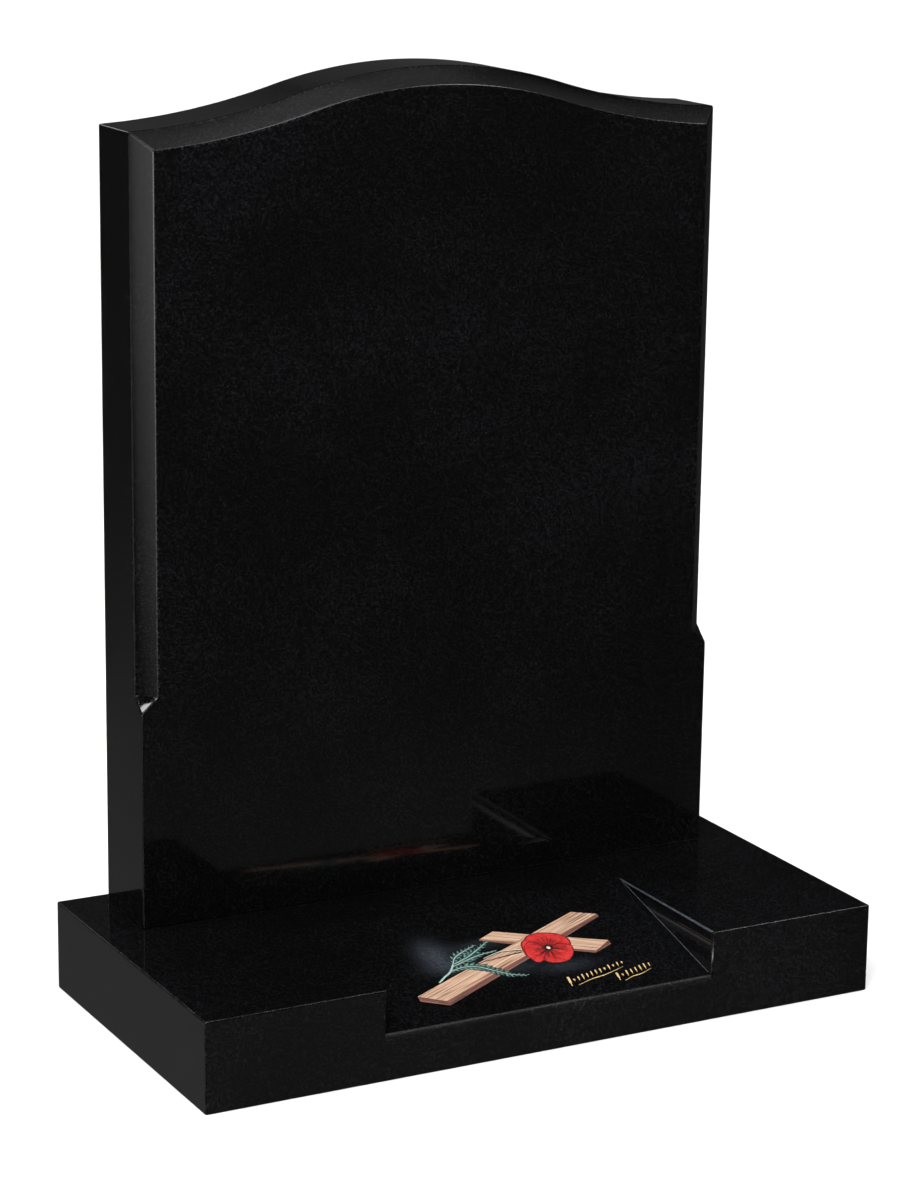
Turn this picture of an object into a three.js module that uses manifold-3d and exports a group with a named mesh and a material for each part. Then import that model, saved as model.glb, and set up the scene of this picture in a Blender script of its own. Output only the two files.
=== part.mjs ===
// Headstone of polished black stone: an upright tablet with an ogee top, standing on a splayed base.
// Millimetres, +Z up. The origin is the middle of the base's underside and the front looks along -Y.
import * as THREE from 'three';
import { ConvexGeometry } from 'three/addons/geometries/ConvexGeometry.js';
import { mergeVertices } from 'three/addons/utils/BufferGeometryUtils.js';
import Module from 'manifold-3d';

// The tablet, the upright stone
const tabletWidth = 533.4;
const tabletThickness = 76.2;
const shoulderHeight = 647.7; // from the bed to the outer corners
const crestRise = 42.5; // the crest above the outer corners
const crestRadius = 406.4;
const shoulderSlope = 2.5; // degrees, how steeply the ogee runs out at the corners

// The chamfer round the face, which stops above the base
const chamferWidth = 15; // across the face
const chamferDepth = 15; // into the side
const stopHeight = 195; // from the bed to the top of the stops
const stopTaper = 13.5; // how far each stop falls to the square corner

// The base, and how the tablet stands on it
const baseHeight = 76.2;
const sideMargin = 38.1; // base seen on each side of the tablet
const rearMargin = 19.05; // base seen behind the tablet
const shelfDepth = 57.15; // level strip in front of the tablet
const bedJoint = 0.3; // between the tablet and the base

// The sunk panel between the two blocks, which falls towards the front
const panelWidth = 300;
const panelRun = 152.4; // front to back, seen from above
const panelDrop = 38.1; // depth at the front edge

// How finely the arcs are divided, and how far a cutter runs past what it cuts
const crestSteps = 32;
const shoulderSteps = 24;
const mitreClearance = 3; // from the chamfer's mitre to the nearest facet of the arc
const cutterOverrun = 10;

const baseWidth = tabletWidth + 2 * sideMargin;
const baseDepth = rearMargin + tabletThickness + shelfDepth + panelRun;
const tabletFront = baseDepth / 2 - rearMargin - tabletThickness;

const wasm = await Module();
wasm.setup();

// A closed three.js geometry as a solid that can be joined and cut
function toSolid(geometry) {
  const bare = geometry.clone();
  bare.deleteAttribute('normal');
  bare.deleteAttribute('uv');
  const merged = mergeVertices(bare);
  return new wasm.Manifold(new wasm.Mesh({
    numProp: 3,
    vertProperties: new Float32Array(merged.attributes.position.array),
    triVerts: new Uint32Array(merged.index.array),
  }));
}

function toGeometry(solid) {
  const mesh = solid.getMesh();
  const geometry = new THREE.BufferGeometry();
  geometry.setAttribute('position', new THREE.BufferAttribute(mesh.vertProperties, 3));
  geometry.setIndex(new THREE.BufferAttribute(mesh.triVerts, 1));
  geometry.computeVertexNormals();
  return geometry;
}

function boxBetween(low, high) {
  const box = new THREE.BoxGeometry(high[0] - low[0], high[1] - low[1], high[2] - low[2]);
  return box.translate((low[0] + high[0]) / 2, (low[1] + high[1]) / 2, (low[2] + high[2]) / 2);
}

// The tablet's outline seen from the front, with x across and y up. The crest is one convex arc. On each
// side a hollow arc meets it without a kink and runs out at the corner with the shoulder's slope.
function tabletOutline() {
  const halfWidth = tabletWidth / 2;
  const crestCentre = shoulderHeight + crestRise - crestRadius;
  const belowShoulder = shoulderHeight - crestCentre;
  const runOut = THREE.MathUtils.degToRad(shoulderSlope);
  const tangency = crestRadius - halfWidth * Math.sin(runOut) - belowShoulder * Math.cos(runOut);
  const shoulderRadius = (halfWidth ** 2 + belowShoulder ** 2 - crestRadius ** 2) / (2 * tangency);
  const shoulderCentreX = halfWidth + shoulderRadius * Math.sin(runOut);
  const shoulderCentreY = shoulderHeight + shoulderRadius * Math.cos(runOut);
  const meetAngle = Math.asin(shoulderCentreX / (crestRadius + shoulderRadius));
  const cornerStraight = chamferWidth + mitreClearance;
  const endAngle = Math.asin((shoulderCentreX - halfWidth + cornerStraight) / shoulderRadius);

  const rightHalf = [];
  for (let step = 0; step < crestSteps; step += 1) {
    const angle = (meetAngle * step) / crestSteps;
    const x = crestRadius * Math.sin(angle);
    rightHalf.push([x, crestCentre + crestRadius * Math.cos(angle)]);
  }
  for (let step = 0; step <= shoulderSteps; step += 1) {
    const angle = meetAngle + ((endAngle - meetAngle) * step) / shoulderSteps;
    const x = shoulderCentreX - shoulderRadius * Math.sin(angle);
    rightHalf.push([x, shoulderCentreY - shoulderRadius * Math.cos(angle)]);
  }
  rightHalf.push([halfWidth, shoulderHeight]);

  const leftHalf = rightHalf.slice(1).reverse().map(([x, y]) => [-x, y]);
  const outline = [...leftHalf, ...rightHalf, [halfWidth, 0], [-halfWidth, 0]];
  return new THREE.Shape(outline.map(([x, y]) => new THREE.Vector2(x, y)));
}

// The tablet with its chamfer all round, its face at y = 0 and its back at the tablet's thickness.
// The chamfer is wanted on the face alone, so the stone is extruded too thick and its back is sawn off.
function chamferedTablet() {
  const extruded = new THREE.ExtrudeGeometry(tabletOutline(), {
    depth: tabletThickness,
    bevelEnabled: true,
    bevelThickness: chamferDepth,
    bevelSize: chamferWidth,
    bevelOffset: -chamferWidth,
    bevelSegments: 1,
  });
  extruded.rotateX(Math.PI / 2);
  extruded.translate(0, tabletThickness + chamferDepth, 0);
  const kept = boxBetween(
    [-tabletWidth, -cutterOverrun, -cutterOverrun],
    [tabletWidth, tabletThickness, shoulderHeight + crestRise + cutterOverrun],
  );
  return toSolid(extruded).intersect(toSolid(kept));
}

// The square-cornered foot of the tablet, up to the slanting three-cornered stops of the chamfer
function squareFoot() {
  const halfWidth = tabletWidth / 2;
  const corners = [];
  for (const side of [-1, 1]) {
    corners.push(new THREE.Vector3(side * halfWidth, 0, 0));
    corners.push(new THREE.Vector3(side * halfWidth, 0, stopHeight - stopTaper));
    corners.push(new THREE.Vector3(side * (halfWidth - chamferWidth), 0, stopHeight));
    corners.push(new THREE.Vector3(side * halfWidth, chamferDepth, stopHeight));
    corners.push(new THREE.Vector3(side * halfWidth, tabletThickness, stopHeight));
    corners.push(new THREE.Vector3(side * halfWidth, tabletThickness, 0));
  }
  return toSolid(new ConvexGeometry(corners));
}

function tabletGeometry() {
  return toGeometry(chamferedTablet().add(squareFoot()));
}

// The base is one block, with a wedge taken out of the middle of its front
function baseGeometry() {
  const front = -baseDepth / 2;
  const fall = panelDrop / panelRun;
  const wedge = new THREE.Shape([
    new THREE.Vector2(front + panelRun, baseHeight),
    new THREE.Vector2(front + panelRun, baseHeight + cutterOverrun),
    new THREE.Vector2(front - cutterOverrun, baseHeight + cutterOverrun),
    new THREE.Vector2(front - cutterOverrun, baseHeight - panelDrop - cutterOverrun * fall),
  ]);
  const cutter = new THREE.ExtrudeGeometry(wedge, { depth: panelWidth, bevelEnabled: false });
  // The wedge is drawn with y and z as its own x and y, and is extruded along x
  cutter.applyMatrix4(new THREE.Matrix4().makeBasis(
    new THREE.Vector3(0, 1, 0),
    new THREE.Vector3(0, 0, 1),
    new THREE.Vector3(1, 0, 0),
  ));
  cutter.translate(-panelWidth / 2, 0, 0);
  const block = boxBetween([-baseWidth / 2, front, 0], [baseWidth / 2, baseDepth / 2, baseHeight]);
  return toGeometry(toSolid(block).subtract(toSolid(cutter)));
}

function polishedGranite() {
  return new THREE.MeshStandardMaterial({ color: 0x0b0b0d, roughness: 0.12, metalness: 0 });
}

const headstone = new THREE.Group();

const base = new THREE.Mesh(baseGeometry(), polishedGranite());
base.name = 'base';
headstone.add(base);

const tablet = new THREE.Mesh(tabletGeometry(), polishedGranite());
tablet.name = 'tablet';
tablet.position.set(0, tabletFront, baseHeight + bedJoint);
headstone.add(tablet);

export default headstone;
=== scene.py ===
# %% [markdown]
# # An ogee-topped headstone in polished black granite
#
# The real object is two stones. A tall tablet with a curved top and a chamfered face stands on a wide base,
# and the middle of the base's front is sunk into a sloping panel with a small picture painted on it.
#
# Both stones come in as solids at their true size, in metres, with the ground at height zero and the front
# looking along -Y. They say where everything goes. This script makes what the eye sees: the worn-in softness
# of the arrises, the granite and its polish, the painted picture and the gilded strokes beside it.

import math
import random

import bmesh
import bpy
from mathutils import Color, Matrix, Vector


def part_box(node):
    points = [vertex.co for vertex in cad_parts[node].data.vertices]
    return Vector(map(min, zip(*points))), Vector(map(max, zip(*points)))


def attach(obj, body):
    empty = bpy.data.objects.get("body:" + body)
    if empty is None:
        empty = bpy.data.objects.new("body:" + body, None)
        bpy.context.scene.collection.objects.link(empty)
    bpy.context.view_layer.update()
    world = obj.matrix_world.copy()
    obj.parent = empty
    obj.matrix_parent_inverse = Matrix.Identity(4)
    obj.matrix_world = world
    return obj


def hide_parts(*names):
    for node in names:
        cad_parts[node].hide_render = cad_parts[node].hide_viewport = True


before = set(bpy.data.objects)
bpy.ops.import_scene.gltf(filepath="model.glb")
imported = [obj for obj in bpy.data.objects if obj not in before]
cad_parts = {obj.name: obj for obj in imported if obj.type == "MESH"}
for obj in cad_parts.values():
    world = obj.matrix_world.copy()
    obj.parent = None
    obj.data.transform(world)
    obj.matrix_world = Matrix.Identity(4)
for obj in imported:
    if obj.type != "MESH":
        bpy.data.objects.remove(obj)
scene = bpy.context.scene
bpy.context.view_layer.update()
tablet_low, tablet_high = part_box("tablet")
base_low, base_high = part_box("base")
MM = 0.001
print("tablet", tuple(round(x, 4) for x in tablet_high - tablet_low), "m")
print("base", tuple(round(x, 4) for x in base_high - base_low), "m")


def add_object(name, data):
    """A new object in the scene, made of a camera, a lamp or a mesh."""
    thing = bpy.data.objects.new(name, data)
    scene.collection.objects.link(thing)
    return thing


def baked(carrier):
    """The mesh that an object's modifiers make. The object is taken away."""
    evaluated = carrier.evaluated_get(bpy.context.evaluated_depsgraph_get())
    mesh = bpy.data.meshes.new_from_object(evaluated)
    bpy.data.objects.remove(carrier)
    return mesh


# %% [markdown]
# ## The camera
#
# A long lens stands well back on the left and looks slightly down, so the upright edges stay nearly upright.
# Its place is in metres. Its turn is three angles: how far it swings to the right, tips down and leans over.

# %% Place the camera
CAMERA_PLACE = Vector((-1.2816, -2.3708, 1.0300))
CAMERA_SWING = 28.25
CAMERA_TIP = 14.26
CAMERA_LEAN = 0.81
LENS_MM = 103.3
SENSOR_MM = 36.0

camera_data = bpy.data.cameras.new("camera")
camera_data.sensor_width = SENSOR_MM
camera_data.lens = LENS_MM
camera = add_object("camera", camera_data)
swing = Matrix.Rotation(math.radians(-CAMERA_SWING), 4, "Z")
tip = Matrix.Rotation(math.radians(90 - CAMERA_TIP), 4, "X")
lean = Matrix.Rotation(math.radians(CAMERA_LEAN), 4, "Z")
camera.matrix_world = Matrix.Translation(CAMERA_PLACE) @ swing @ tip @ lean
scene.camera = camera
scene.view_settings.view_transform = "Standard"
print("camera", round(CAMERA_PLACE.length, 2), "m from the middle of the base")

# %% [markdown]
# ## The studio
#
# A polished black stone shows almost nothing but what it reflects, so the light is set out by asking, for
# each face, what it mirrors towards the camera. The face of the tablet looks at darkness in front and below.
# The chamfer on the left looks at a soft panel on the left, and the chamfer of the top looks straight up.
#
# The soft panels are drawn in the world: each is a round glow about one direction with a soft rim. Small
# strong glows put the bright lines on the arrises, whose rounds look in many directions at once.

# %% Helpers for shader nodes
def set_node(tree, node, **settings):
    """Sets up a node by name: its properties, and its inputs with values or other nodes' outputs."""
    for name, value in settings.items():
        if name in node.bl_rna.properties:
            setattr(node, name, value)
        elif isinstance(value, bpy.types.NodeSocket):
            tree.links.new(value, node.inputs[name.replace("_", " ")])
        else:
            node.inputs[name.replace("_", " ")].default_value = value
    return node


def add_node(tree, kind, **settings):
    """A new node, set up."""
    return set_node(tree, tree.nodes.new(kind), **settings)


def math_node(tree, operation, first, second):
    """A Math node. Each operand is a number or another node's output."""
    node = add_node(tree, "ShaderNodeMath", operation=operation)
    for socket, operand in zip(node.inputs, (first, second)):
        if isinstance(operand, (int, float)):
            socket.default_value = operand
        else:
            tree.links.new(operand, socket)
    return node.outputs[0]


def ramp_node(tree, factor, *stops):
    """A colour ramp between two stops, each a position and a colour. Gives the colour's output."""
    node = add_node(tree, "ShaderNodeValToRGB", Fac=factor)
    for element, (position, colour) in zip(node.color_ramp.elements, stops):
        element.position = position
        element.color = (*colour, 1.0)
    return node.outputs["Color"]


def map_node(tree, value, *limits):
    """Maps a value from one range to another, held at both ends. Gives the output."""
    ranges = dict(zip(("From_Min", "From_Max", "To_Min", "To_Max"), limits))
    return add_node(tree, "ShaderNodeMapRange", Value=value, **ranges).outputs["Result"]


def laid_over(tree, amount, under, over):
    """A colour's output with a plain colour laid over it, by an amount. Gives the output."""
    mix = add_node(tree, "ShaderNodeMix", data_type="RGBA", Factor=amount)
    tree.links.new(under, mix.inputs[6])
    mix.inputs[7].default_value = (*over, 1.0)
    return mix.outputs[2]


def new_material(name):
    """A new material. Gives the material, its tree and its shader."""
    material = bpy.data.materials.new(name)
    material.use_nodes = True
    return material, material.node_tree, material.node_tree.nodes["Principled BSDF"]


# %% The glows of the studio
# Each glow: what it is for, its direction, its half-width and its soft rim in degrees, its strength
GLOWS = [
    ("panel that the left chamfer mirrors", (-0.80, -0.57, 0.17), 10, 22, 1.58),
    ("overhead panel for the top's chamfer", (0.05, 0.10, 0.99), 15, 28, 0.28),
    ("its brighter end for the left flank", (0.05, -0.32, 0.945), 2, 17, 0.40),
    ("its brighter end for the crest", (0.43, -0.27, 0.86), 2, 16, 0.24),
    ("its brighter end for the right flank", (0.75, -0.21, 0.63), 2, 18, 0.30),
    ("dim card for the face", (0.45, -0.88, -0.08), 8, 15, 0.02),
    ("pale ground in front of the base", (0.40, -0.79, -0.465), 5, 9, 0.105),
    ("pale ground behind, for the left sides", (-0.38, 0.72, -0.58), 8, 18, 0.17),
    ("wall behind, for the top", (0.37, 0.92, 0.07), 8, 12, 0.055),
    ("ground behind on the right", (0.864, 0.455, -0.217), 10, 20, 0.035),
    ("wall on the left, for the chamfer's outer arris", (-0.97, 0.20, -0.12), 6, 20, 0.50),
    ("lamp behind, for the top's left arris", (-0.12, 0.935, 0.34), 3, 4, 6.0),
    ("strip by the camera, for upright arrises", (-0.62, -0.78, 0.05), 6, 11, 9.0),
    ("strip in front, for the crest's inner arris", (0.47, -0.37, 0.80), 2, 3, 10.0),
    ("strip on its left, for the left flank's arris", (0.14, -0.45, 0.88), 4, 6, 7.0),
    ("lamp in front, for the right block's arris", (0.54, -0.34, 0.77), 3, 3, 16.0),
    ("lamp on the left, for the chamfer's stop", (-0.58, -0.02, 0.815), 3, 3, 16.0),
    ("lamp on the left, for the chamfer's mitre", (-0.42, -0.64, 0.645), 2, 3, 14.0),
    ("dim wall behind, for the left sides", (-0.45, 0.88, -0.12), 14, 14, 0.014),
]
AMBIENT = 0.009

world = bpy.data.worlds.new("studio")
world.use_nodes = True
scene.world = world
sky = world.node_tree
sky.nodes.clear()
direction = add_node(sky, "ShaderNodeTexCoord").outputs["Generated"]
total = AMBIENT
for purpose, aim, half_width, rim, strength in GLOWS:
    facing = add_node(sky, "ShaderNodeVectorMath", operation="DOT_PRODUCT", label=purpose, Vector=direction)
    facing.inputs[1].default_value = Vector(aim).normalized()
    outer, inner = (math.cos(math.radians(reach)) for reach in (half_width + rim, half_width))
    fade = add_node(sky, "ShaderNodeMapRange", interpolation_type="SMOOTHERSTEP",
                    Value=facing.outputs["Value"], From_Min=outer, From_Max=inner)
    glow = math_node(sky, "MULTIPLY", fade.outputs["Result"], strength)
    total = math_node(sky, "ADD", glow, total)
background = add_node(sky, "ShaderNodeBackground", Strength=total)

# Straight from the camera the backdrop is plain and pale
paper = add_node(sky, "ShaderNodeBackground", Color=(1.0, 1.0, 1.0, 1.0))
rays = add_node(sky, "ShaderNodeLightPath")
either = add_node(sky, "ShaderNodeMixShader", Fac=rays.outputs["Is Camera Ray"])
sky.links.new(background.outputs[0], either.inputs[1])
sky.links.new(paper.outputs[0], either.inputs[2])
add_node(sky, "ShaderNodeOutputWorld", Surface=either.outputs[0])
print(len(GLOWS), "glows in the studio")

# %% [markdown]
# Three lamps do the rest. Two softboxes stand high on the left, and a wide soft sun straight above makes the
# floor white and shows the colours of the picture. All three only light. What the polish mirrors is in the
# glows, so the lamps are kept out of the reflections.

# %% The lamps
def softbox(name, place, aim, width, brightness):
    """A square area lamp at a place, looking at a point."""
    data = bpy.data.lights.new(name, "AREA")
    data.shape = "SQUARE"
    data.size = width
    data.energy = brightness * math.pi * width * width
    lamp = add_object(name, data)
    look = Vector(aim) - Vector(place)
    lamp.matrix_world = Matrix.Translation(place) @ look.to_track_quat("-Z", "Y").to_matrix().to_4x4()
    lamp.visible_glossy = False


softbox("key_softbox", (-1.39, -1.63, 2.45), (-0.26, 0.06, 0.71), 0.4, 90)
softbox("high_softbox", (-2.04, 0.45, 2.64), (-0.26, 0.06, 0.27), 0.6, 30)

SUN_STRENGTH = 2.6
SUN_SPREAD = 70
sun_data = bpy.data.lights.new("soft_sun", "SUN")
sun_data.energy = SUN_STRENGTH
sun_data.angle = math.radians(SUN_SPREAD)
sun = add_object("soft_sun", sun_data)
sun.visible_glossy = False

# %% The floor
FLOOR_REACH = 30.0
floor_mesh = bpy.data.meshes.new("floor")
floor_shape = bmesh.new()
bmesh.ops.create_grid(floor_shape, x_segments=1, y_segments=1, size=FLOOR_REACH)
floor_shape.to_mesh(floor_mesh)
floor_shape.free()
floor = add_object("floor", floor_mesh)
floor.visible_glossy = False
floor_paint, floor_tree, floor_shader = new_material("floor_paint")
set_node(floor_tree, floor_shader, Base_Color=(0.92, 0.92, 0.92, 1.0), Roughness=0.8)
floor_mesh.materials.append(floor_paint)
print("floor", 2 * FLOOR_REACH, "m square")

# %% [markdown]
# ## The granite
#
# The trade calls it black granite. It is a mass of dark crystals about a millimetre across, with some pale
# and bluish grains, and it takes a polish like glass. Three scales make it: a cell pattern for the crystals,
# fine noise for the grains within them, and a slow cloud that keeps a large face from looking dead. The
# grain also stirs the polish a little, because the harder crystals stand proud of the softer ones.
#
# The same stone is met in several finishes: polished on the faces, satin on the eased arrises, where only a
# hand pad reaches, rubbed on the panel's lip, and honed grey in the corners that no wheel reaches. Under the
# picture it is misted with pale paint. Everything reads Object coordinates, metres on the finished stones.

# %% The stone in its finishes
# The three scales in metres
CRYSTAL = 0.0013
GRAIN = 0.0006
CLOUD = 0.16


def granite(name, dark, pale, roughness, mist=()):
    """Black granite from its darkest to its palest crystals, with a polish between two roughnesses.

    Each patch of mist is its middle across and up the panel, its two reaches, all in millimetres,
    and its strength.
    """
    material, tree, shader = new_material(name)
    place = add_node(tree, "ShaderNodeTexCoord").outputs["Object"]

    crystals = add_node(tree, "ShaderNodeTexVoronoi", Vector=place, Scale=1 / CRYSTAL)
    grains = add_node(tree, "ShaderNodeTexNoise", Vector=place, Scale=1 / GRAIN, Detail=2.0, Roughness=0.6)
    cloud = add_node(tree, "ShaderNodeTexNoise", Vector=place, Scale=1 / CLOUD, Detail=3.0, Roughness=0.55)

    cell_value = add_node(tree, "ShaderNodeSeparateColor", Color=crystals.outputs["Color"])
    mixed = math_node(tree, "ADD", cell_value.outputs["Red"], grains.outputs["Fac"])
    speck = math_node(tree, "MULTIPLY", mixed, 0.5)
    lift = map_node(tree, cloud.outputs["Fac"], 0.35, 0.65, -0.06, 0.10)
    colour = ramp_node(tree, math_node(tree, "ADD", speck, lift), (0.55, dark), (0.95, pale))

    if mist:
        colour = misted(tree, place, colour, mist)
    sheen = map_node(tree, speck, 0.3, 0.8, *roughness)
    relief = add_node(tree, "ShaderNodeBump", Strength=0.15, Distance=0.00003, Height=speck)
    set_node(tree, shader, Base_Color=colour, Roughness=sheen, Normal=relief.outputs["Normal"])
    return material


MIST_COLOUR = (0.14, 0.17, 0.21)
MIST_GRAIN = 0.0025


def misted(tree, place, colour, mist):
    """The stone's colour under a thin spray of pale paint, thickest in the middle of each patch."""
    parts = add_node(tree, "ShaderNodeSeparateXYZ", Vector=place)
    spray = add_node(tree, "ShaderNodeTexNoise", Vector=place,
                     Scale=1 / MIST_GRAIN, Detail=4.0, Roughness=0.7)
    amount = 0.0
    for across, up, reach_across, reach_up, strength in mist:
        middle = panel_to_base @ Vector((across * MM, up * MM, 0.0))
        squares = 0.0
        spans = (("X", middle.x, reach_across * MM), ("Y", middle.y, reach_up * MM * up_slope.y))
        for axis, centre, reach in spans:
            away = math_node(tree, "DIVIDE", math_node(tree, "SUBTRACT", parts.outputs[axis], centre), reach)
            squares = math_node(tree, "ADD", math_node(tree, "MULTIPLY", away, away), squares)
        patch = math_node(tree, "EXPONENT", math_node(tree, "MULTIPLY", squares, -1.5), 0)
        amount = math_node(tree, "ADD", math_node(tree, "MULTIPLY", patch, strength), amount)
    grainy = math_node(tree, "MULTIPLY", amount, map_node(tree, spray.outputs["Fac"], 0.3, 0.7, 0.4, 1.3))
    return laid_over(tree, grainy, colour, MIST_COLOUR)


# %% [markdown]
# ## Where the picture lies
#
# The picture is drawn flat, in millimetres across from the middle of the panel and up from its front edge,
# and is laid on the slope at the end. The slope is read from the base's solid, so it is never guessed.

# %% Read the slope
# The slope is the base's only face that looks neither straight up nor to a side
base_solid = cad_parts["base"].data
slope_corners = [
    base_solid.vertices[index].co.copy()
    for face in base_solid.polygons if 0.9 < face.normal.z < 0.99
    for index in face.vertices
]
slope_front = min(slope_corners, key=lambda corner: corner.z)
slope_back = max(slope_corners, key=lambda corner: corner.z)
panel_half = max(corner.x for corner in slope_corners)
climb = Vector((0.0, slope_back.y - slope_front.y, slope_back.z - slope_front.z))
up_slope = climb.normalized()
outward = Vector((1.0, 0.0, 0.0)).cross(up_slope)
panel_to_base = Matrix((
    (1.0, 0.0, 0.0, 0.0),
    (0.0, up_slope.y, outward.y, slope_front.y),
    (0.0, up_slope.z, outward.z, slope_front.z),
    (0.0, 0.0, 0.0, 1.0),
))
print("panel", round(2 * panel_half, 3), "by", round(climb.length, 3), "m")

# %% Mix the finishes
MIST = [
    (-62, 92, 16, 22, 0.20),
    (-52, 74, 26, 12, 0.13),
    (-10, 58, 34, 10, 0.08),
    (40, 48, 26, 9, 0.09),
    (-20, 96, 30, 8, 0.08),
]
BLACK = (0.0015, 0.0015, 0.0015)
PALE = (0.0090, 0.0092, 0.0110)
POLISH = (0.04, 0.10)
polished = granite("polished_granite", BLACK, PALE, POLISH)
misty = granite("misted_granite", BLACK, PALE, POLISH, MIST)
satin = granite("satin_granite", (0.0010, 0.0010, 0.0011), (0.0180, 0.0182, 0.0200), (0.18, 0.28))
rubbed = granite("rubbed_granite", (0.0018, 0.0018, 0.0019), (0.0140, 0.0143, 0.0165), (0.42, 0.52))
honed = granite("honed_granite", (0.036, 0.041, 0.048), (0.09, 0.10, 0.12), (0.45, 0.60))
print("granite:", polished.name, misty.name, satin.name, rubbed.name, honed.name)

# %% [markdown]
# ## The two stones
#
# A mason never leaves a sawn edge sharp: every arris is eased with a few strokes, by a millimetre or so,
# and that narrow round is what catches the light. The front lip of the sloping panel is eased much more.
#
# Each stone starts as a copy of its solid. The loose triangles are merged and the flat ones are dissolved
# into whole faces, then each edge is told how much it is eased, by its bevel weight. A Bevel modifier cuts
# the rounds, and Weighted Normal keeps the large faces flat while the ogee stays smooth.

# %% Ease the arrises of a stone
ARRIS = 1.4 * MM
LIP = 6.0 * MM
SHARP_FROM = math.radians(20)
CREASE_FROM = math.radians(8)
FLAT_WITHIN = math.radians(0.1)
TOUCHING = 0.01 * MM
NEAR = 0.1 * MM
# The places of the finishes on a stone. The last three are the base's alone
POLISHED, SATIN, MISTY, HONED, RUBBED = range(5)


def eased_mesh(name, node, is_lip, by_hand=None):
    """A copy of a solid with its convex edges rounded, and the edges that is_lip picks rounded most.

    What is worked by hand is done first, by the function by_hand.
    """
    shape = bmesh.new()
    shape.from_mesh(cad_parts[node].data)
    bmesh.ops.remove_doubles(shape, verts=shape.verts, dist=TOUCHING)
    bmesh.ops.dissolve_limit(shape, angle_limit=FLAT_WITHIN, verts=shape.verts, edges=shape.edges)
    if by_hand:
        by_hand(shape)
    weight = shape.edges.layers.float.new("bevel_weight_edge")
    eased = 0
    for edge in shape.edges:
        if edge.is_convex and edge.calc_face_angle(0.0) > SHARP_FROM:
            edge[weight] = 1.0 if is_lip(edge) else ARRIS / LIP
            eased += 1
        elif edge.calc_face_angle(0.0) > CREASE_FROM:
            edge.smooth = False
    for face in shape.faces:
        face.smooth = True
    sharp = bpy.data.meshes.new(name + "_sharp")
    shape.to_mesh(sharp)
    shape.free()

    carrier = add_object(name + "_carrier", sharp)
    bevel = carrier.modifiers.new("eased arrises", "BEVEL")
    bevel.limit_method = "WEIGHT"
    bevel.width = LIP
    bevel.segments = 4
    bevel.material = SATIN
    for finish in (polished, satin):
        sharp.materials.append(finish)
    mesh = baked(carrier)
    mesh.name = name
    bpy.data.meshes.remove(sharp)
    print(name, "has", eased, "eased edges and", len(mesh.polygons), "faces")
    return mesh


def is_panel_lip(edge):
    """True for the low front edge of the sloping panel."""
    heights = [vertex.co.z for vertex in edge.verts]
    at_front = all(abs(vertex.co.y - base_low.y) < NEAR for vertex in edge.verts)
    between = all(base_low.z + MM < z < base_high.z - MM for z in heights)
    return at_front and between and abs(heights[0] - heights[1]) < NEAR


def stone(name, mesh):
    """The finished stone: its mesh, with the normals weighted so that flat faces stay flat."""
    piece = add_object(name, mesh)
    normals = piece.modifiers.new("flat faces stay flat", "WEIGHTED_NORMAL")
    normals.keep_sharp = True
    return piece


# %% [markdown]
# The chamfer is ground by hand, so it isn't quite flat. It is crowned by a quarter of a millimetre, and the
# light on it changes from its inner side to its outer one. Each of its two stops is scooped out a little.
#
# The chamfer is cut into narrow strips along its length, and the cuts are lifted. Each stop is a triangle: it
# is taken away and woven again as a net of small triangles, whose inner points are sunk.

# %% Grind the chamfer and scoop its stops
CROWN = 0.25 * MM
SCOOP = 0.45 * MM
STRIPS = 4
FORWARD = 10 * MM  # an edge that runs further forward than this crosses the chamfer


def points_along(shape, start, end):
    """The points on the straight edge between two corners, in order. An edge that is whole is cut first."""
    edge = shape.edges.get((start, end))
    points = [start]
    while edge:
        edge, point = bmesh.utils.edge_split(edge, points[-1], 1 / (STRIPS + 1 - len(points)))
        points.append(point)
        edge = shape.edges.get((point, end)) if len(points) < STRIPS else None
    if len(points) == 1:
        line = end.co - start.co
        part = {vertex: (vertex.co - start.co).dot(line) / line.length_squared for vertex in shape.verts}
        points += sorted((vertex for vertex in part if 0.01 < part[vertex] < 0.99
                          and (vertex.co - start.co - line * part[vertex]).length < TOUCHING), key=part.get)
    return points + [end]


def weave_stop(shape, spots):
    """Weaves one stop as a net between its two upper corners and its lower one, sunk in the middle."""
    corners = [min(shape.verts, key=lambda vertex: (vertex.co - spot).length) for spot in spots]
    low = min(corners, key=lambda vertex: vertex.co.z)
    inner, outer = sorted((corner for corner in corners if corner is not low), key=lambda vertex: vertex.co.y)
    normal = (outer.co - inner.co).cross(low.co - inner.co).normalized()
    if normal.z < 0:
        normal.negate()
    left = points_along(shape, inner, low)
    right = points_along(shape, outer, low)
    rows = [points_along(shape, inner, outer)]
    for down in range(1, STRIPS):
        count = STRIPS - down
        row = [left[down]]
        for step in range(1, count):
            a, b, c = down / STRIPS, step / STRIPS, (count - step) / STRIPS
            spot = left[down].co.lerp(right[down].co, step / count) - normal * SCOOP * 27 * a * b * c
            row.append(shape.verts.new(spot))
        rows.append(row + [right[down]])
    rows.append([low])
    for upper, lower in zip(rows, rows[1:]):
        for step in range(len(lower)):
            shape.faces.new((upper[step], upper[step + 1], lower[step]))
            if step:
                shape.faces.new((upper[step], lower[step], lower[step - 1]))


def is_stop(face):
    """True for a stop of the chamfer."""
    return 0.5 < -face.normal.y < 0.6 and face.normal.z > 0.5


def is_chamfer(face):
    """True for a face of the chamfer."""
    return 0.6 < -face.normal.y < 0.8


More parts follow.
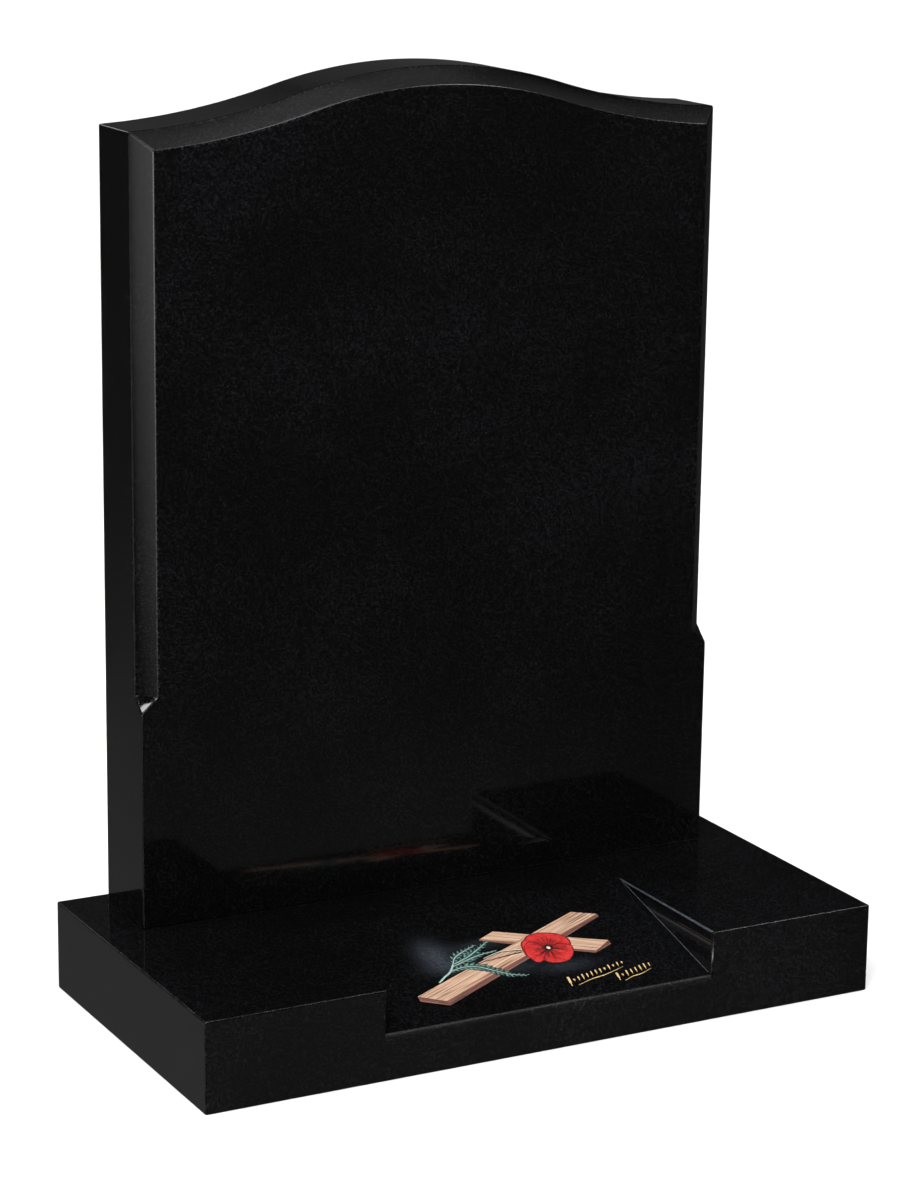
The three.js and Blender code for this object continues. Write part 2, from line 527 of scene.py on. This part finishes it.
def grind_by_hand(shape):
    """Crowns the chamfer of the tablet and scoops out its stops."""
    stops = [face for face in shape.faces if is_stop(face)]
    corners = [[vertex.co.copy() for vertex in face.verts] for face in stops]
    bmesh.ops.delete(shape, geom=stops, context="FACES_ONLY")
    chamfer = [face for face in shape.faces if is_chamfer(face)]
    across = {edge for face in chamfer for edge in face.edges
              if abs(edge.verts[0].co.y - edge.verts[1].co.y) > FORWARD}
    ends = [vertex.co.y for edge in across for vertex in edge.verts]
    front, back = min(ends), max(ends)
    bmesh.ops.subdivide_edges(shape, edges=list(across), cuts=STRIPS - 1)
    for three in corners:
        weave_stop(shape, three)
    bmesh.ops.recalc_face_normals(shape, faces=shape.faces)
    lifts = []
    for vertex in shape.verts:
        part = (vertex.co.y - front) / (back - front)
        normals = [face.normal for face in vertex.link_faces if is_chamfer(face)]
        if normals and 0.1 < part < 0.9:
            lifts.append((vertex, sum(normals, Vector()).normalized() * CROWN * 4 * part * (1 - part)))
    for vertex, lift in lifts:
        vertex.co += lift
    shape.normal_update()
    print(len(corners), "stops scooped and", len(lifts), "points of the chamfer lifted")


tablet_stone = stone("tablet_stone", eased_mesh("tablet_mesh", "tablet", lambda edge: False, grind_by_hand))

# %% [markdown]
# Light lines frame the right cheek of the panel. The upper one is the cheek's arris, left honed. The lower
# one runs down the inner corner, where the wheel leaves a narrow unpolished fillet between cheek and slope.
# The left cheek has the same fillet, but its arris is satin like the others.
# The fillet is a three-sided sliver of stone, half a millimetre wide, let into both faces.

# %% The lines round the panel
FILLET = 0.5 * MM
SUNK = 0.1 * MM


def add_fillet(shape, side):
    """A sliver of stone down the corner between the slope and the cheek on one side."""
    rings = []
    for up in (LIP, climb.length - LIP):
        corner = (side * (panel_half + SUNK), up, -SUNK)
        on_cheek = (side * (panel_half + SUNK), up, FILLET)
        on_slope = (side * (panel_half - FILLET), up, -SUNK)
        spots = (panel_to_base @ Vector(point) for point in (corner, on_cheek, on_slope))
        rings.append([shape.verts.new(spot) for spot in spots])
    low, high = rings
    faces = [shape.faces.new(low), shape.faces.new(high[::-1])]
    for first, second in ((0, 1), (1, 2), (2, 0)):
        faces.append(shape.faces.new((low[second], low[first], high[first], high[second])))
    bmesh.ops.recalc_face_normals(shape, faces=faces)
    for face in faces:
        face.material_index = HONED


base_mesh = eased_mesh("base_mesh", "base", is_panel_lip)
for finish in (misty, honed, rubbed):
    base_mesh.materials.append(finish)
base_shape = bmesh.new()
base_shape.from_mesh(base_mesh)
for face in base_shape.faces:
    middle = face.calc_center_median()
    if face.normal.dot(outward) > 0.9999 and middle.z < base_high.z - MM:
        face.material_index = MISTY
    beside_cheek = abs(middle.x - panel_half) < 1.5 * MM and middle.y < slope_back.y
    if face.material_index == SATIN and beside_cheek and abs(face.normal.y) < 0.05:
        face.material_index = HONED
    on_lip = slope_front.z - LIP - MM < middle.z < slope_front.z + 2 * MM
    if face.material_index == SATIN and on_lip and abs(middle.x) < panel_half - MM:
        face.material_index = RUBBED
# Where three eased arrises meet, the rounding may swell a hair past the front, so it is ground back
for vertex in base_shape.verts:
    vertex.co.y = max(vertex.co.y, base_low.y)
for side in (-1, 1):
    add_fillet(base_shape, side)
base_shape.to_mesh(base_mesh)
base_shape.free()
base_stone = stone("base_stone", base_mesh)

# %% [markdown]
# ## The picture
#
# The painter lays a plain wooden cross across the slope, a poppy over its crossing and a spray of cut leaves
# beside it. Paint has next to no thickness, so each shape is a film a few hundredths of a millimetre high,
# let a little into the stone so that it is closed. Later shapes lie a layer higher than earlier ones.
#
# A shape is a loop of points about a heart. Each film remembers how far a point is from the heart to the
# rim, which lets the brush darken the rim, and its place about the heart, which lets streaks run outwards.

# %% Lay films of paint
LAYER = 0.03 * MM
BED = 0.05 * MM
CM_PER_MM = 0.1  # the texture's place on a film is in centimetres


def smoothed(points, steps):
    """A smooth curve from the second of the points to the last but one, with so many steps between them."""
    curve = []
    for index in range(len(points) - 3):
        before, start, end, after = (Vector(points[index + shift]) for shift in range(4))
        for t in (step / steps for step in range(steps)):
            curve.append(0.5 * (
                2 * start
                + (end - before) * t
                + (2 * before - 5 * start + 4 * end - after) * t ** 2
                + (3 * start - before - 3 * end + after) * t ** 3
            ))
    return curve


def smooth_loop(points, steps):
    """A closed curve through the points."""
    return smoothed([points[-1], *points, *points[:2]], steps)


def smooth_line(points, steps):
    """An open curve through the points."""
    return smoothed([points[0], *points, points[-1]], steps) + [Vector(points[-1])]


def film(name, loop, heart, layer, material, about=None, grain_angle=0.0):
    """A closed film of paint inside a loop of points in millimetres. Gives its mesh, still lying flat.

    The heart is a point inside the loop. The texture is laid about another point if one is given.
    """
    turn = Matrix.Rotation(-math.radians(grain_angle), 2)
    about = Vector(about or heart)
    shape = bmesh.new()
    rim = shape.verts.layers.float.new("rim")
    rings = []
    for height in (layer * LAYER, -BED):
        ring = [shape.verts.new((x * MM, y * MM, height)) for x, y in loop]
        for vertex in ring:
            vertex[rim] = 1.0
        rings.append((ring, shape.verts.new((heart[0] * MM, heart[1] * MM, height))))
    (top, top_heart), (low, low_heart) = rings
    for index in range(len(loop)):
        after = (index + 1) % len(loop)
        shape.faces.new((top_heart, top[index], top[after]))
        shape.faces.new((low_heart, low[after], low[index]))
        shape.faces.new((top[index], low[index], low[after], top[after]))
    places = {vertex: turn @ (vertex.co.xy / MM - about) * CM_PER_MM for vertex in shape.verts}
    return finished_film(name, shape, places, material)


def ribbon(name, points, widths, layer, material):
    """A closed brush stroke through the points, with its width at each point. Gives its mesh."""
    shape = bmesh.new()
    rim = shape.verts.layers.float.new("rim")
    points = [Vector(point) for point in points]
    places = {}
    rows = []
    travelled = 0.0
    for index, point in enumerate(points):
        before = points[max(index - 1, 0)]
        along = (points[min(index + 1, len(points) - 1)] - before).normalized()
        aside = Vector((-along.y, along.x))
        travelled += (point - before).length
        row = []
        for height in (layer * LAYER, -BED):
            for offset in (0.5, 0.0, -0.5):
                spot = point + aside * widths[index] * offset
                vertex = shape.verts.new((spot.x * MM, spot.y * MM, height))
                vertex[rim] = abs(offset) * 2
                places[vertex] = (travelled * CM_PER_MM, offset)
                row.append(vertex)
        rows.append(row)
    for row, after in zip(rows, rows[1:]):
        for first, second in ((0, 1), (1, 2), (2, 5), (5, 4), (4, 3), (3, 0)):
            shape.faces.new((row[first], row[second], after[second], after[first]))
    for row in (rows[0], rows[-1]):
        shape.faces.new((row[0], row[1], row[4], row[3]))
        shape.faces.new((row[1], row[2], row[5], row[4]))
    return finished_film(name, shape, places, material)


def finished_film(name, shape, places, material):
    """The mesh of a film, painted, with the place of each of its points in the texture."""
    bmesh.ops.recalc_face_normals(shape, faces=shape.faces)
    uv = shape.loops.layers.uv.new("UVMap")
    for face in shape.faces:
        for corner in face.loops:
            corner[uv].uv = places[corner.vert]
    mesh = bpy.data.meshes.new(name)
    shape.to_mesh(mesh)
    shape.free()
    mesh.materials.append(material)
    return mesh


def tapered(name, line, root, belly, tip, layer, material):
    """A brush stroke that swells from its root to its belly and thins to its tip. Gives its mesh."""
    half = (len(line) - 1) / 2
    widths = [root + (belly - root) * i / half if i < half else belly + (tip - belly) * (i - half) / half
              for i in range(len(line))]
    return ribbon(name, line, widths, layer, material)


# %% [markdown]
# The paints are opaque and nearly matt. Each has the marks of the brush in it: the grain drawn along the
# wood, the streaks that run out from the poppy's heart with its thin dark outline, and the light and dark
# greens of the leaves. Colours are given as they look on a screen, from 0 to 255.

# %% Mix the paints
DIMMED = 0.62  # the lamps are bright, so the paints are darker than they look


def screen(*parts):
    """A colour as seen under the studio's lamps on a screen, turned into the share of light given back."""
    seen = Color([part / 255 for part in parts]).from_srgb_to_scene_linear()
    return tuple(part * DIMMED for part in seen)


def paint(name):
    """A new opaque paint. Gives the material, its tree, its shader and the place on the film."""
    material, tree, shader = new_material(name)
    place = add_node(tree, "ShaderNodeTexCoord").outputs["UV"]
    strokes = add_node(tree, "ShaderNodeTexNoise", Vector=place, Scale=9.0, Detail=3.0, Roughness=0.6)
    sheen = map_node(tree, strokes.outputs["Fac"], 0.3, 0.7, 0.38, 0.55)
    relief = add_node(tree, "ShaderNodeBump", Strength=0.2, Distance=0.00005, Height=strokes.outputs["Fac"])
    set_node(tree, shader, Roughness=sheen, Normal=relief.outputs["Normal"])
    return material, tree, shader, place


def stretched(tree, place, along, across, detail):
    """Noise drawn out along the first axis of the film. Gives its output."""
    squeeze = add_node(tree, "ShaderNodeMapping", Vector=place, Scale=(along, across, 1.0))
    return add_node(tree, "ShaderNodeTexNoise", Vector=squeeze.outputs["Vector"],
                    Scale=1.0, Detail=detail, Roughness=0.6).outputs["Fac"]


def wood_paint(name, light, middle, line):
    """Painted wood: a pale ground, a broad drift of tone and fine dark lines along the grain."""
    material, tree, shader, place = paint(name)
    drift = stretched(tree, place, 0.12, 2.2, 3.0)
    ground = ramp_node(tree, drift, (0.35, middle), (0.62, light))
    lines = stretched(tree, place, 0.14, 9.0, 1.0)
    amount = map_node(tree, lines, 0.52, 0.58, 0.0, 0.80)
    set_node(tree, shader, Base_Color=laid_over(tree, amount, ground, line))
    return material


wood = wood_paint("wood_paint", screen(238, 202, 174), screen(208, 164, 134), screen(112, 72, 54))
wood_side = wood_paint("wood_side_paint", screen(150, 104, 92), screen(112, 70, 60), screen(60, 34, 28))


# %% The poppy's red and the greens
def outlined(name, colours, streaks, dark_reach):
    """Paint whose tone runs from the middle of the flower, with streaks, and whose rim is outlined.

    The colours are the streaks' and the ground's darker and lighter tones, and the outline's.
    """
    streak_colour, darker, lighter, outline = colours
    material, tree, shader, place = paint(name)
    away = add_node(tree, "ShaderNodeVectorMath", operation="LENGTH", Vector=place)
    outwards = add_node(tree, "ShaderNodeVectorMath", operation="NORMALIZE", Vector=place)
    fan = add_node(tree, "ShaderNodeTexNoise", Vector=outwards.outputs["Vector"],
                   Scale=streaks, Detail=3.0, Roughness=0.65)
    ground = ramp_node(tree, stretched(tree, place, 1.6, 1.6, 2.0), (0.35, darker), (0.62, lighter))
    near = map_node(tree, away.outputs["Value"], 0.25, dark_reach, 1.0, 0.0)
    streaked = math_node(tree, "MULTIPLY", near, map_node(tree, fan.outputs["Fac"], 0.40, 0.60, 0.0, 1.6))
    heart = map_node(tree, away.outputs["Value"], 0.30, 0.50, 1.0, 0.0)
    amount = math_node(tree, "MINIMUM", math_node(tree, "MAXIMUM", streaked, heart), 1.0)
    streaky = laid_over(tree, amount, ground, streak_colour)
    rim = add_node(tree, "ShaderNodeAttribute", attribute_name="rim")
    edge = map_node(tree, rim.outputs["Fac"], 0.90, 0.97, 0.0, 0.85)
    set_node(tree, shader, Base_Color=laid_over(tree, edge, streaky, outline))
    return material


PETAL_REDS = (screen(60, 8, 10), screen(196, 30, 34), screen(236, 62, 58), screen(70, 8, 10))
petal = outlined("petal_paint", PETAL_REDS, 6.0, 2.0)


def stroke_paint(name, dark, light, outline, lift=0.30):
    """Paint that is light along the middle of a stroke and darker towards its rims."""
    material, tree, shader, place = paint(name)
    rim = add_node(tree, "ShaderNodeAttribute", attribute_name="rim")
    drift = stretched(tree, place, 3.0, 3.0, 3.0)
    edge = math_node(tree, "MULTIPLY", math_node(tree, "POWER", rim.outputs["Fac"], 2.0), outline)
    tone = math_node(tree, "SUBTRACT", math_node(tree, "ADD", drift, lift), edge)
    set_node(tree, shader, Base_Color=ramp_node(tree, tone, (0.25, dark), (0.75, light)))
    return material


leaf = stroke_paint("leaf_paint", screen(10, 30, 32), screen(140, 186, 172), 0.85, 0.20)
shade = stroke_paint("shade_paint", screen(8, 26, 28), screen(36, 76, 72), 0.4)
rib_green = stroke_paint("rib_paint", screen(70, 112, 104), screen(182, 214, 202), 0.4)
dark = stroke_paint("dark_paint", screen(10, 10, 12), screen(34, 26, 24), 0.4)
cream = stroke_paint("cream_paint", screen(200, 190, 160), screen(245, 240, 220), 0.2)
gold = stroke_paint("gold_paint", screen(150, 104, 44), screen(244, 210, 146), 0.4)
print("paints:", wood.name, petal.name, leaf.name, gold.name)

# %% [markdown]
# ## The cross and the poppy
#
# The cross is drawn as two flat bars seen a little from the side, so each has a darker strip along its near
# side. The poppy has a ring of petals behind and two broad ones in front, parted by a notch at the bottom.

# %% Paint the cross
LONG_GRAIN = 23.5
SHORT_GRAIN = -24.5
# Each strip of wood: its corners, its layer, its paint and the turn of its grain in degrees
CROSS = {
    "short_bar": ([(-14.3, 103.3), (2.6, 111.2), (91.8, 72.4), (73.9, 61.3)], 1, wood, SHORT_GRAIN),
    "short_side": ([(-15.1, 101.7), (-14.3, 103.3), (73.9, 61.3), (71.8, 58.4)], 1, wood_side, SHORT_GRAIN),
    "short_end": ([(71.8, 58.4), (73.9, 61.3), (91.8, 72.4), (91.5, 66.9)], 1, wood_side, 30.0),
    "long_bar": ([(-101.7, 42.2), (-80.9, 29.8), (102.3, 110.9), (81.7, 119.9)], 2, wood, LONG_GRAIN),
    "long_side": ([(-80.9, 29.8), (-81.4, 23.7), (102.1, 106.8), (102.3, 110.9)], 2, wood_side, LONG_GRAIN),
    "long_end": ([(-102.5, 35.5), (-81.4, 23.7), (-80.9, 29.8), (-101.7, 42.2)], 2, wood_side, -30.0),
}
films = []
for name, (corners, layer, material, grain_angle) in CROSS.items():
    heart = sum((Vector(corner) for corner in corners), Vector((0.0, 0.0))) / len(corners)
    films.append(film(name, corners, heart, layer, material, grain_angle=grain_angle))

# %% Paint the poppy
HEART = (36.5, 76.0)
STEPS = 6
# Each film of petals: a point inside it and the points of its rim. Each lies a layer above the last
FIRST_PETALS = 5
PETALS = {
    "back_petals": ((37.0, 80.0), [
        (16.7, 88.2), (22.5, 92.8), (27.7, 97.4), (39.3, 98.8), (53.0, 94.0), (59.7, 84.9), (57.0, 73.4),
        (50.0, 64.0), (34.0, 60.0), (20.0, 62.0), (13.4, 69.4), (13.1, 76.0)]),
    "left_petal": ((23.0, 73.0), [
        (33.1, 74.7), (28.0, 64.0), (22.6, 59.6), (17.2, 59.1), (14.6, 64.5), (13.4, 71.0), (15.0, 78.0),
        (18.6, 85.0), (24.6, 88.6), (31.0, 85.2)]),
    "right_petal": ((41.0, 67.0), [
        (35.0, 75.5), (28.2, 67.4), (24.2, 60.6), (28.6, 55.4), (36.4, 53.6), (44.6, 54.9), (51.6, 60.7),
        (55.8, 67.2), (57.2, 74.6), (50.0, 79.0), (42.0, 79.0)]),
}
for layer, (name, (inside, ring)) in enumerate(PETALS.items(), FIRST_PETALS):
    films.append(film(name, smooth_loop(ring, STEPS), inside, layer, petal, about=HEART))


def oval(middle, half_width, half_height, count):
    """An oval loop of so many points about its middle."""
    turns = (2 * math.pi * index / count for index in range(count))
    return [(middle[0] + half_width * math.cos(turn), middle[1] + half_height * math.sin(turn))
            for turn in turns]


STAMENS = 16
chance = random.Random(4)
for index in range(STAMENS):
    angle = 2 * math.pi * (index + chance.uniform(-0.3, 0.3)) / STAMENS
    reach = chance.uniform(3.4, 5.2)
    tip = (HEART[0] + reach * math.cos(angle), HEART[1] + reach * math.sin(angle))
    films.append(ribbon("stamen", [HEART, tip], [0.5, 0.35], 8, dark))
    films.append(film("knob", oval(tip, 0.65, 0.65, 8), tip, 9, dark))
films.append(film("button", oval(HEART, 1.7, 1.9, 16), HEART, 10, cream))
print("the cross and the poppy take", len(films), "films")

# %% Paint the stems
upper_stem = smooth_line([(13.9, 79.1), (2.7, 80.8), (-8.0, 81.0), (-24.0, 76.0)], 6)
lower_stem = smooth_line([(12.5, 76.9), (-8.6, 74.6), (-29.4, 72.0)], 6)
for name, line in (("upper_stem", upper_stem), ("lower_stem", lower_stem)):
    films.append(tapered(name, line, 1.5, 1.3, 0.8, 3, dark))
lit_stem = [point + Vector((0.0, 0.9)) for point in upper_stem]
films.append(tapered("lit_stem", lit_stem, 0.8, 0.8, 0.4, 4, cream))

# %% [markdown]
# ## The leaves
#
# Each leaf is a rib with pointed lobes along both sides, so it is grown rather than drawn. A node tree walks
# along the rib, sets a lobe at every step, first on one side and then on the other, leans it forwards and
# makes it smaller towards the tip. Every lobe lies a hair above the one before, so that none coincide.

# %% The tree that grows lobes along a rib
HAIR = 0.001 * MM


def new_tree(name, **inputs):
    """A Geometry Nodes tree with named inputs, each of a kind."""
    tree = bpy.data.node_groups.new(name, "GeometryNodeTree")
    for label, kind in inputs.items():
        tree.interface.new_socket(label, in_out="INPUT", socket_type="NodeSocket" + kind)
    tree.interface.new_socket("Geometry", in_out="OUTPUT", socket_type="NodeSocketGeometry")
    return tree


def varied(tree, low, high, seed):
    """A chance number between two, whole if they are, which follows the seed. Gives the output."""
    kind, first, output = ("INT", 4, 2) if isinstance(low, int) else ("FLOAT", 2, 1)
    vary = add_node(tree, "FunctionNodeRandomValue", data_type=kind, Seed=seed)
    vary.inputs[first].default_value = low
    vary.inputs[first + 1].default_value = high
    return vary.outputs[output]


def copied(tree, points, thing, turn, size, pick=None):
    """Copies a thing to points, turned and scaled. Each copy lies a hair above the one before."""
    turned = add_node(tree, "ShaderNodeCombineXYZ", Z=turn)
    scale = add_node(tree, "ShaderNodeCombineXYZ", X=size, Y=size, Z=1.0)
    choice = {"Pick_Instance": True, "Instance_Index": pick} if pick else {}
    placed = add_node(tree, "GeometryNodeInstanceOnPoints", Points=points, Instance=thing,
                      Rotation=turned.outputs[0], Scale=scale.outputs[0], **choice)
    order = add_node(tree, "GeometryNodeInputIndex").outputs[0]
    hair = add_node(tree, "ShaderNodeCombineXYZ", Z=math_node(tree, "MULTIPLY", order, HAIR))
    return add_node(tree, "GeometryNodeTranslateInstances",
                    Instances=placed.outputs[0], Translation=hair.outputs[0]).outputs[0]


def finish_tree(tree, geometry, material):
    """Ends a tree: the copies are made real and given their material."""
    real = add_node(tree, "GeometryNodeRealizeInstances", Geometry=geometry)
    painted = add_node(tree, "GeometryNodeSetMaterial", Geometry=real.outputs[0], Material=material)
    add_node(tree, "NodeGroupOutput", Geometry=painted.outputs[0])


def grow(name, tree, **values):
    """Runs a tree once with the values of its inputs, and gives the mesh that it makes."""
    carrier = add_object(name, bpy.data.meshes.new(name + "_seed"))
    growth = carrier.modifiers.new("growth", "NODES")
    growth.node_group = tree
    for item in tree.interface.items_tree:
        if item.item_type == "SOCKET" and item.in_out == "INPUT" and item.name in values:
            growth[item.identifier] = values[item.name]
    bpy.context.view_layer.update()
    return baked(carrier)


lobes = new_tree("lobes_along_a_rib", Rib="Object", Lobe="Object", Spacing="Float", Lean="Float",
                 Reach="Float", Seed="Int")
rib_inputs = add_node(lobes, "NodeGroupInput").outputs
rib_info = add_node(lobes, "GeometryNodeObjectInfo", Object=rib_inputs["Rib"])
lobe_info = add_node(lobes, "GeometryNodeObjectInfo", Object=rib_inputs["Lobe"])
rib_curve = add_node(lobes, "GeometryNodeMeshToCurve", Mesh=rib_info.outputs["Geometry"])
steps_along = add_node(lobes, "GeometryNodeResampleCurve", mode="LENGTH",
                       Curve=rib_curve.outputs[0], Length=rib_inputs["Spacing"])

order = add_node(lobes, "GeometryNodeInputIndex").outputs[0]
odd = math_node(lobes, "MODULO", order, 2.0)
side = math_node(lobes, "SUBTRACT", math_node(lobes, "MULTIPLY", odd, 2.0), 1.0)
tangent = add_node(lobes, "GeometryNodeInputTangent").outputs[0]
heading = add_node(lobes, "ShaderNodeSeparateXYZ", Vector=tangent)
facing = math_node(lobes, "ARCTAN2", heading.outputs["Y"], heading.outputs["X"])
lean = math_node(lobes, "MULTIPLY", side, rib_inputs["Lean"])

along = add_node(lobes, "GeometryNodeSplineParameter").outputs["Factor"]
rising = map_node(lobes, along, 0.0, 0.3, 0.35, 1.0)
falling = map_node(lobes, along, 0.3, 1.0, 1.0, 0.3)
swelling = math_node(lobes, "MINIMUM", rising, falling)
swelling = math_node(lobes, "MULTIPLY", swelling, varied(lobes, 0.75, 1.2, rib_inputs["Seed"]))
lobe_size = math_node(lobes, "MULTIPLY", swelling, rib_inputs["Reach"])
leaning = math_node(lobes, "ADD", facing, lean)
leaf_lobes = copied(lobes, steps_along.outputs[0], lobe_info.outputs["Geometry"], leaning, lobe_size)
finish_tree(lobes, leaf_lobes, leaf)

# %% Grow the leaves
# What a tree copies or follows is an object for a while, and is taken away once the tree has run
lobe_outline = smooth_loop([(0.0, 0.0), (2.2, 1.5), (4.8, 1.4), (7.8, 0.1), (4.8, -1.2), (2.2, -1.4)], 4)
lobe_shape = add_object("lobe", film("lobe", lobe_outline, (3.0, 0.0), 3, leaf))

# Each leaf: its rib from root to tip, how widely its lobes are set, how far they reach and how they lean
LEAVES = [
    ([(-52.5, 76.0), (-46.6, 84.4), (-36.0, 90.6), (-22.5, 96.4)], 2.2, 1.05, 0.75),
    ([(-51.0, 76.4), (-36.8, 82.0), (-22.0, 90.6), (-9.0, 99.2)], 2.4, 1.15, 0.70),
    ([(-54.0, 73.0), (-38.7, 78.4), (-23.8, 82.6), (-8.3, 84.6)], 2.2, 0.95, 0.60),
    ([(-59.0, 66.9), (-47.0, 69.9), (-35.0, 67.6), (-24.0, 59.0), (-13.0, 50.0), (-0.3, 44.9)],
     2.0, 1.35, 0.70),
]
for number, (rib, spacing, reach, lean_by) in enumerate(LEAVES):
    line = smooth_line(rib, 8)
    path = bpy.data.meshes.new("rib")
    ends = [(index, index + 1) for index in range(len(line) - 1)]
    path.from_pydata([(x * MM, y * MM, 0.0) for x, y in line], ends, [])
    follow = add_object("path", path)
    films.append(grow("leaf", lobes, Rib=follow, Lobe=lobe_shape, Spacing=spacing * MM, Lean=lean_by,
                      Reach=reach, Seed=number))
    films.append(tapered("blade", line, 1.5, 3.6 * reach, 0.6, 4, shade))
    films.append(tapered("rib", line, 0.9, 1.1, 0.4, 5, rib_green))
    bpy.data.objects.remove(follow)
bpy.data.objects.remove(lobe_shape)
stalk = smooth_line([(-75.5, 55.1), (-67.5, 61.3), (-59.6, 66.9), (-52.5, 76.0)], 6)
films.append(tapered("stalk", stalk, 1.6, 2.0, 1.5, 5, rib_green))
print(len(LEAVES), "leaves grown")

# %% [markdown]
# ## The gilded rows
#
# Two short rows of gilded strokes rise across the right of the panel, each over a thin swash. Each stroke is
# one of three marks of a broad pen, chosen by chance, and the first in a row is taller. They say nothing.

# %% The tree that sets strokes in a row
rows_tree = new_tree("strokes_in_a_row", Start="Vector", End="Vector", Count="Int", Bar="Object",
                     Dab="Object", Sweep="Object", Turn="Float", Seed="Int")
row_inputs = add_node(rows_tree, "NodeGroupInput").outputs
row_line = add_node(rows_tree, "GeometryNodeMeshLine", mode="END_POINTS", Count=row_inputs["Count"],
                    Start_Location=row_inputs["Start"], Offset=row_inputs["End"])
marks = add_node(rows_tree, "GeometryNodeJoinGeometry")
for label in ("Sweep", "Dab", "Bar"):
    mark_info = add_node(rows_tree, "GeometryNodeObjectInfo", As_Instance=True, Object=row_inputs[label])
    rows_tree.links.new(mark_info.outputs["Geometry"], marks.inputs[0])
pick = varied(rows_tree, 0, 2, row_inputs["Seed"])
is_first = math_node(rows_tree, "LESS_THAN", add_node(rows_tree, "GeometryNodeInputIndex").outputs[0], 0.5)
taller = math_node(rows_tree, "ADD", math_node(rows_tree, "MULTIPLY", is_first, 0.7), 1.0)
mark_size = math_node(rows_tree, "MULTIPLY", taller, varied(rows_tree, 0.85, 1.15, row_inputs["Seed"]))
row_marks = copied(rows_tree, row_line.outputs[0], marks.outputs[0], row_inputs["Turn"], mark_size, pick)
finish_tree(rows_tree, row_marks, gold)

# %% Gild the rows
PEN_STEPS = 5


def mark(name, points, widths):
    """One mark of the pen, ready to be copied."""
    line = smooth_line(points, PEN_STEPS)
    spread = [widths[min(index // PEN_STEPS, len(widths) - 1)] for index in range(len(line))]
    return add_object(name, ribbon(name, line, spread, 1, gold))


MARKS = {
    "Bar": mark("bar", [(-0.6, -2.4), (0.0, 0.0), (0.6, 2.4)], [0.7, 1.4, 0.7]),
    "Dab": mark("dab", [(-0.4, -1.5), (0.0, 0.0), (0.4, 1.5)], [0.6, 1.8, 0.6]),
    "Sweep": mark("sweep", [(-0.9, -3.2), (-0.2, -0.8), (0.2, 0.8), (0.9, 3.4)], [0.5, 1.3, 1.3, 0.5]),
}
# Each row: the middle of its first and last stroke, how many strokes, and its seed
ROWS = [((30.0, 26.6), (86.0, 39.5), 13, 3), ((73.0, 22.0), (107.0, 30.5), 8, 8)]
SLANT = 0.15
gilding = []
for start, end, count, seed in ROWS:
    across, rise = end[0] - start[0], end[1] - start[1]
    gilding.append(grow("row", rows_tree, Start=(start[0] * MM, start[1] * MM, 0.0),
                        End=(end[0] * MM, end[1] * MM, 0.0), Count=count,
                        Turn=math.atan2(rise, across) - SLANT, Seed=seed, **MARKS))
    spots = ((0.08, -7.6), (0.35, -6.2), (0.62, -6.9), (0.97, -5.2))
    through = [(start[0] + part * across, start[1] + part * rise + below) for part, below in spots]
    swash = smooth_line(through, 6)
    gilding.append(tapered("swash", swash, 0.3, 1.1, 0.3, 2, gold))
for helper in MARKS.values():
    bpy.data.objects.remove(helper)
print(len(ROWS), "rows gilded")

# %% [markdown]
# ## Lay the picture on the slope
#
# The films are joined into two pieces, the painted picture and the gilding, and turned from the flat onto
# the slope. Both then belong to the base.

# %% Join the films
def joined(name, meshes):
    """One piece made of many films, laid on the slope."""
    shape = bmesh.new()
    materials = list(dict.fromkeys(mesh.materials[0] for mesh in meshes))
    for mesh in meshes:
        before = len(shape.faces)
        shape.from_mesh(mesh)
        shape.faces.ensure_lookup_table()
        for face in shape.faces[before:]:
            face.material_index = materials.index(mesh.materials[0])
    bmesh.ops.transform(shape, matrix=panel_to_base, verts=shape.verts)
    whole = bpy.data.meshes.new(name)
    shape.to_mesh(whole)
    shape.free()
    for material in materials:
        whole.materials.append(material)
    for mesh in meshes:
        bpy.data.meshes.remove(mesh)
    piece = add_object(name, whole)
    print(name, "has", len(whole.polygons), "faces")
    return piece


picture = joined("painted_picture", films)
gilded = joined("gilded_rows", gilding)

# %% Hand over to the frame
for piece, node in ((tablet_stone, "tablet"), (base_stone, "base")):
    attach(piece, "root")
    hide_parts(node)
for piece, finish in ((picture, "picture_paint"), (gilded, "gilding")):
    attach(piece, "root")
